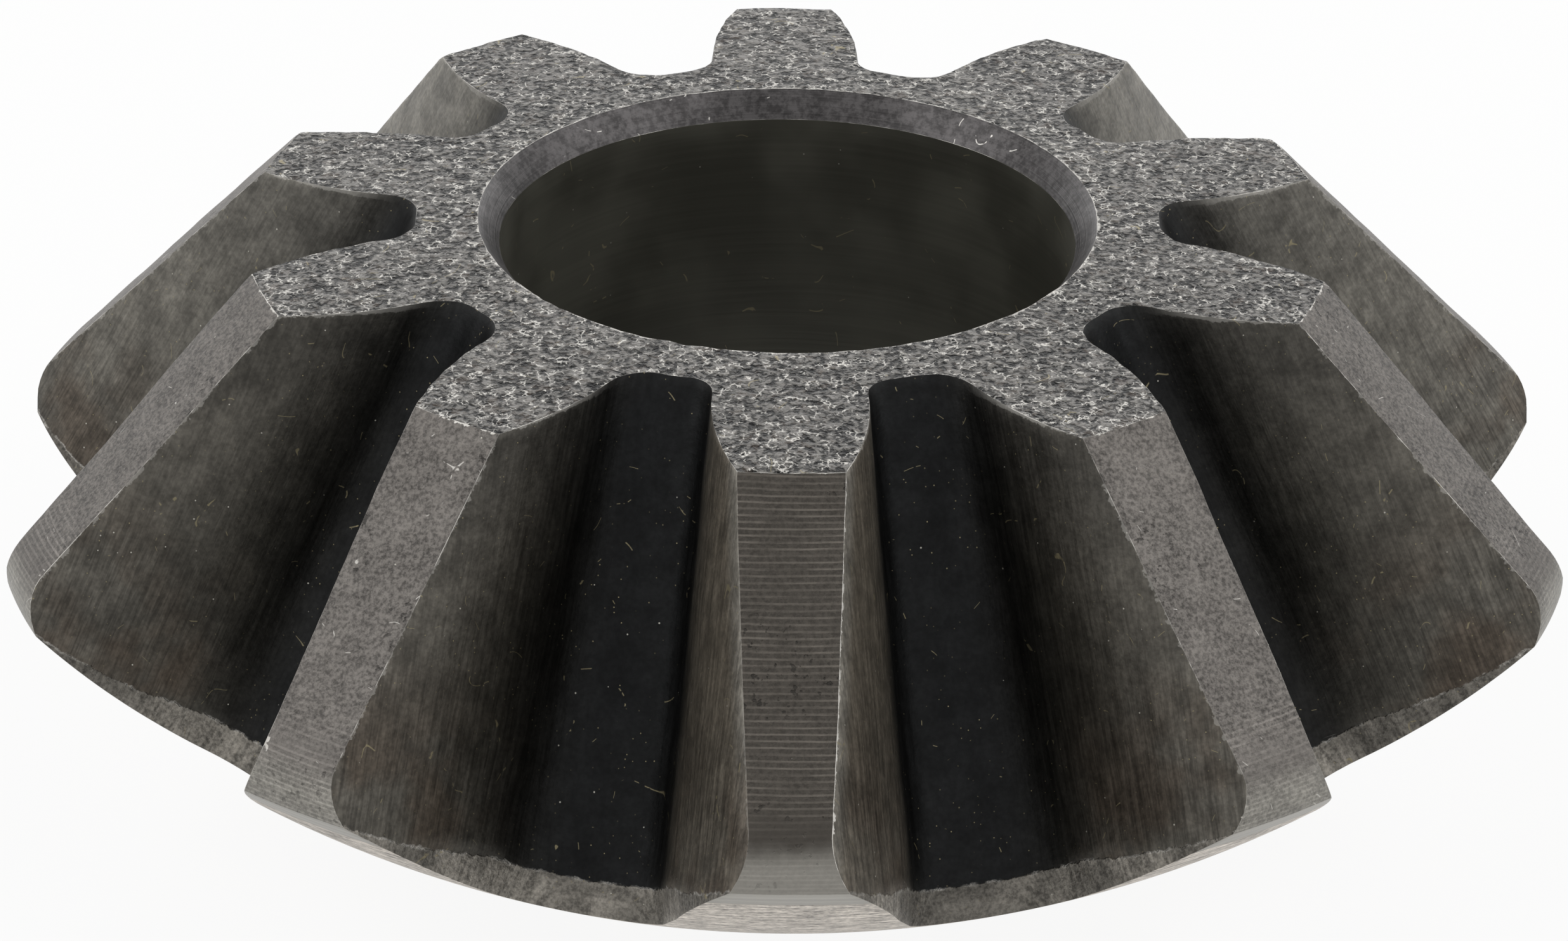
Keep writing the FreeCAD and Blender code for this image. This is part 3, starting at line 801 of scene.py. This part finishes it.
def bore_steel(c):
    """Ground bore wall under a film of oil: dark, smooth and greenish, with faint rings 0.25 mm apart."""
    m = Surface("ground_oiled_steel_bore", 0.55, 0.5)
    rings = m.grain(1.0, 2.0, m.round_axis(1.0, m.measured("run"), 4.0), 0.6)
    cloud = m.grain(4.0, 3.0)
    shade = m.plus(m.ramp(rings, 0.3, 0.7, 0.93, 1.07), m.ramp(cloud, 0.3, 0.7, -0.14, 0.14))
    base = m.shaded(rgba(c.bore), shade)
    base = m.mix(m.times(m.specks(0.7, 0.04, 0.25), 0.5), base, rgba(c.dust))
    base = m.mix(m.times(m.lint(), 0.6), base, rgba(c.lint))
    rough = m.ramp(cloud, 0.3, 0.7, 0.4, 0.55)
    return m.finish(base, rough, m.bump(rings, 0.004))


def chamfer_steel(c):
    """Turned chamfer: brownish grey, with lines about 0.1 mm wide round the bore."""
    m = Surface("turned_steel_chamfer", 0.9, 0.4)
    run, edge = m.measured("run"), m.measured("edge")
    rings = m.grain(1.0, 2.0, m.vector(m.times(run, 11.0), 0.0, 0.0), 0.7)
    cloud = m.grain(1.6, 3.0)
    spots = m.grain(0.3, 4.0, rough=0.7)
    shade = m.plus(m.ramp(rings, 0.3, 0.7, 0.8, 1.15), m.ramp(cloud, 0.3, 0.7, -0.15, 0.15))
    shade = m.plus(shade, m.ramp(spots, 0.38, 0.62, -0.3, 0.3))
    base = m.shaded(rgba(c.chamfer), shade)
    base = m.mix(m.worn(edge), base, rgba(c.bright))
    base = m.mix(m.times(m.lint(), 0.7), base, rgba(c.bright))
    rough = m.ramp(rings, 0.3, 0.7, 0.34, 0.46)
    return m.finish(base, rough, m.bump(rings, 0.012))


# The radii between which the blasted back turns into its smooth rim, in millimetres.
BACK_RIM = 29.35, 29.55


def back_steel(c):
    """Thrust back: a smooth turned rim, and inside it light, blasted and scuffed steel with rings."""
    m = Surface("turned_and_blasted_steel_back", 0.9, 0.5)
    radius = m.measured("radius")
    # Scuffs run round the axis, about 2 mm long and 0.15 mm wide. The grit is 0.25 mm wide.
    scuffs = m.grain(1.0, 4.0, m.round_axis(18.0, radius, 6.0), 0.65)
    rings = m.grain(1.0, 2.0, m.round_axis(0.5, radius, 4.0), 0.6)
    grit = m.grain(0.25, 3.0, rough=0.65)
    rim = m.ramp(m.plus(radius, m.times(scuffs, 0.3)), *BACK_RIM)
    shade = m.plus(m.ramp(scuffs, 0.36, 0.64, 0.55, 1.3), m.ramp(grit, 0.36, 0.64, -0.22, 0.22))
    base = m.shaded(rgba(c.back), shade)
    shade = m.ramp(rings, 0.3, 0.7, 0.85, 1.15)
    smooth = m.shaded(rgba(c.heel), shade)
    base = m.mix(rim, base, smooth)
    rough = m.ramp(rim, 0.0, 1.0, 0.55, 0.42)
    normal = m.bump(m.times(scuffs, m.minus(1.0, rim)), 0.05)
    return m.finish(base, rough, m.bump(grit, 0.012, normal=normal))


def displace(piece, size, strength, level, group, name):
    """Roughens one vertex group by a cloudy relief. Size and strength are in millimetres.

    The level is the share of the strength that goes inward.
    """
    texture = bpy.data.textures.new(name, "CLOUDS")
    texture.noise_scale = size * MM
    texture.noise_depth = 2
    modifier = piece.modifiers.new(name, "DISPLACE")
    modifier.texture = texture
    modifier.texture_coords = "LOCAL"
    modifier.strength = strength * MM
    modifier.mid_level = level
    modifier.vertex_group = group
    bpy.ops.object.modifier_apply(modifier=name)


# The relief of the skin: size of its lumps and strength in millimetres, share that goes inward, group and name.
RELIEFS = (
    (0.7, 0.10, 0.8, "rough", "toe_relief"),
    (5.0, 0.12, 0.6, "sides", "forging_wave"),
    (0.8, 0.03, 0.6, "sides", "scale_relief"),
)
# How far over the back the relief begins, and how far it takes to grow to full strength, in millimetres.
RELIEF_FROM, RELIEF_OVER = 1.4, 1.5
MERGE_DISTANCE = 0.004 * MM
SHARP_ANGLE, SMOOTH_ANGLE = math.radians(28.0), math.radians(40.0)
SEED = 7


class PinionGear(bpy.types.Operator):
    """Models the forged pinion, one tooth pitch at a time, and gives it its finishes"""

    bl_idname = "mesh.differential_pinion"
    bl_label = "Pinion Gear"
    bl_options = {"REGISTER", "UNDO"}

    def execute(self, context):
        sizes, colours = context.scene.pinion_sizes, context.scene.pinion_colours
        shape = Shape(sizes)
        rng = np.random.default_rng(SEED)
        makers = (flank_steel, land_steel, toe_steel, bore_steel, chamfer_steel, back_steel)
        finishes = [make(colours) for make in makers]
        # Each pitch is modelled and not copied, because its torn band runs in its own way, and the
        # front tooth has its own fillet and relief.
        pitches = []
        for number in range(sizes.teeth):
            relief, fillet = sizes.side_relief, sizes.side_fillet_radius
            if number == 0:
                relief, fillet = sizes.front_relief, sizes.root_fillet_radius
            piece = tooth_pitch(shape, rng, "tooth_%d" % number, finishes, relief, fillet)
            bpy.ops.transform.rotate(value=-number * shape.pitch, orient_axis="Z",
                                     center_override=(0.0, 0.0, 0.0))
            bpy.ops.object.transform_apply(location=True, rotation=True, scale=True)
            pitches.append(piece)
        gear = join(pitches)
        gear.name = "forged_pinion"
        gear.data.name = "forged_pinion"

        bpy.ops.object.mode_set(mode="EDIT")
        bpy.ops.mesh.select_all(action="SELECT")
        bpy.ops.mesh.remove_doubles(threshold=MERGE_DISTANCE)
        bpy.ops.mesh.normals_make_consistent(inside=False)
        bpy.ops.mesh.select_all(action="DESELECT")
        bpy.ops.mesh.select_mode(type="EDGE")
        bpy.ops.mesh.edges_select_sharp(sharpness=SHARP_ANGLE)
        bpy.ops.object.mode_set(mode="OBJECT")

        # The relief comes before the broken edges, which would fold under it.
        kinds = np.empty(len(gear.data.polygons), np.int32)
        gear.data.polygons.foreach_get("material_index", kinds)
        x, y, z = read(gear.data.vertices, "co").T
        over_back = (shape.sphere - np.hypot(np.hypot(x, y), z - shape.centre)) / MM
        # The sheared heel is torn already, so the relief fades out above it.
        faded = np.clip((over_back - RELIEF_FROM) / RELIEF_OVER, 0.0, 1.0)
        groups = {"rough": (TOE,), "sides": (FLANK, LAND)}
        for name, members in groups.items():
            group = gear.vertex_groups.new(name=name)
            chosen = {v for face in gear.data.polygons if kinds[face.index] in members for v in face.vertices}
            for v in chosen:
                group.add([v], faded[v], "REPLACE")
        for relief in RELIEFS:
            displace(gear, *relief)

        bpy.ops.object.mode_set(mode="EDIT")
        bpy.ops.mesh.bevel(offset=sizes.edge_width, segments=2, profile=0.5, affect="EDGES",
                           clamp_overlap=True)
        bpy.ops.object.mode_set(mode="OBJECT")

        values = measure_points(gear, shape)
        chosen = np.empty(len(gear.data.polygons), bool)
        gear.data.polygons.foreach_get("select", chosen)
        gear.data.attributes.new("edge", "FLOAT", "FACE").data.foreach_set("value", chosen.astype(float))
        span = np.maximum(values["over_root"] + values["under_tip"], 1e-6)
        share = np.clip(values["over_root"] / span, 0.0, 1.0)
        band = sizes.band_height / MM * band_share(share)
        gear.data.attributes.new("band", "FLOAT", "POINT").data.foreach_set("value", band)
        bpy.ops.object.shade_smooth_by_angle(angle=SMOOTH_ANGLE)

        # The relief lifts a few hundredths of a millimetre past the solid's own size, which are taken off.
        inside = np.clip(read(gear.data.vertices, "co"), *(np.array(corner) for corner in SOLID))
        gear.data.vertices.foreach_set("co", inside.ravel())
        gear.data.update()

        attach(gear, "root")
        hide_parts("pinion_gear")
        return {"FINISHED"}


WHITE = (1.0, 1.0, 1.0, 1.0)
# The share of the floor's look that is a plain white glow. The rest is board that takes the shadow.
FLOOR_GLOW = 0.9


def seen_rays(tree):
    """1 for the rays that show the background: straight, reflected and refracted ones."""
    path = node(tree, "ShaderNodeLightPath")
    seen = node(tree, "ShaderNodeMath", {0: path.outputs["Is Camera Ray"], 1: path.outputs["Is Glossy Ray"]},
                operation="MAXIMUM").outputs[0]
    return node(tree, "ShaderNodeMath", {0: seen, 1: path.outputs["Is Transmission Ray"]},
                operation="MAXIMUM").outputs[0]


def lamp(name, power, size, place, turn):
    """Adds one soft rectangular lamp."""
    bpy.ops.object.select_all(action="DESELECT")
    bpy.ops.object.light_add(type="AREA", location=place, rotation=turn)
    made = bpy.context.object
    made.name = name
    made.data.energy = power
    made.data.shape = "RECTANGLE"
    made.data.size, made.data.size_y = size
    return made


class Stage(bpy.types.Operator):
    """Sets the pale floor, the soft lamps and the camera"""

    bl_idname = "scene.pinion_stage"
    bl_label = "Stage"
    bl_options = {"REGISTER", "UNDO"}

    def execute(self, context):
        settings = context.scene.pinion_stage_settings
        bpy.ops.object.select_all(action="DESELECT")
        bpy.ops.mesh.primitive_plane_add(size=settings.floor_size, location=(0.0, 0.0, 0.0))
        floor = context.object
        floor.name = "floor"
        material = bpy.data.materials.new("matt_white_board")
        material.use_nodes = True
        tree = material.node_tree
        tree.nodes.clear()
        share = node(tree, "ShaderNodeMath", {0: seen_rays(tree), 1: FLOOR_GLOW}, operation="MULTIPLY").outputs[0]
        board = node(tree, "ShaderNodeBsdfDiffuse", {"Color": rgba(settings.floor_colour)})
        glow = node(tree, "ShaderNodeEmission", {"Color": WHITE, "Strength": 1.0})
        both = node(tree, "ShaderNodeMixShader", {0: share, 1: board.outputs[0], 2: glow.outputs[0]})
        node(tree, "ShaderNodeOutputMaterial", {"Surface": both.outputs[0]})
        floor.data.materials.append(material)

        world = bpy.data.worlds.new("white_room")
        context.scene.world = world
        world.use_nodes = True
        tree = world.node_tree
        tree.nodes.clear()
        strength = node(tree, "ShaderNodeMapRange",
                        {"Value": seen_rays(tree), "To Min": settings.world_strength, "To Max": 1.0})
        sky = node(tree, "ShaderNodeBackground", {"Color": WHITE, "Strength": strength.outputs[0]})
        node(tree, "ShaderNodeOutputWorld", {"Surface": sky.outputs[0]})

        # A wide soft box behind gives the blasted toe face its sparkle and the outer flanks their sheen.
        lamp("lamp_behind", settings.back_power, (1.2, 0.35), (0.0, 0.55, 0.26),
             (math.radians(-65.0), 0.0, 0.0))
        # Two large soft boxes stand at the left and the right, half way up, and light the turned tooth tips.
        for name, side in (("lamp_left", -1.0), ("lamp_right", 1.0)):
            lamp(name, settings.side_power, (0.4, 0.4), (side * 0.36, -0.05, 0.36),
                 (0.0, side * math.radians(45.0), 0.0))

        data = bpy.data.cameras.new("camera")
        camera = bpy.data.objects.new("camera", data)
        context.scene.collection.objects.link(camera)
        camera.location = (-0.0033796, -0.2686807, 0.1498791)
        camera.rotation_euler = Euler((math.radians(62.8876), math.radians(-0.6498), math.radians(-0.3845)))
        data.lens = settings.lens
        data.sensor_width = 36.0
        data.sensor_fit = "HORIZONTAL"
        data.clip_start = 0.01
        context.scene.camera = camera
        context.scene.view_settings.view_transform = "Standard"
        return {"FINISHED"}


class PinionPanel(bpy.types.Panel):
    """Lists the pieces and their sizes"""

    bl_idname = "VIEW3D_PT_differential_pinion"
    bl_label = "Differential Pinion"
    bl_space_type = "VIEW_3D"
    bl_region_type = "UI"
    bl_category = "Pinion"

    def draw(self, context):
        layout = self.layout
        for group in (context.scene.pinion_sizes, context.scene.pinion_colours):
            box = layout.box()
            for name in group.__annotations__:
                box.prop(group, name)
        layout.operator(PinionGear.bl_idname)
        box = layout.box()
        for name in context.scene.pinion_stage_settings.__annotations__:
            box.prop(context.scene.pinion_stage_settings, name)
        layout.operator(Stage.bl_idname)


CLASSES = (PinionSizes, PinionColours, StageSettings, PinionGear, Stage, PinionPanel)


def register():
    """Makes the classes and their settings known."""
    for item in CLASSES:
        bpy.utils.register_class(item)
    bpy.types.Scene.pinion_sizes = PointerProperty(type=PinionSizes)
    bpy.types.Scene.pinion_colours = PointerProperty(type=PinionColours)
    bpy.types.Scene.pinion_stage_settings = PointerProperty(type=StageSettings)


def unregister():
    """Takes them away again."""
    del bpy.types.Scene.pinion_stage_settings
    del bpy.types.Scene.pinion_colours
    del bpy.types.Scene.pinion_sizes
    for item in reversed(CLASSES):
        bpy.utils.unregister_class(item)


def main():
    """Builds everything."""
    register()
    bpy.ops.mesh.differential_pinion()
    bpy.ops.scene.pinion_stage()


if __name__ == "__main__":
    main()
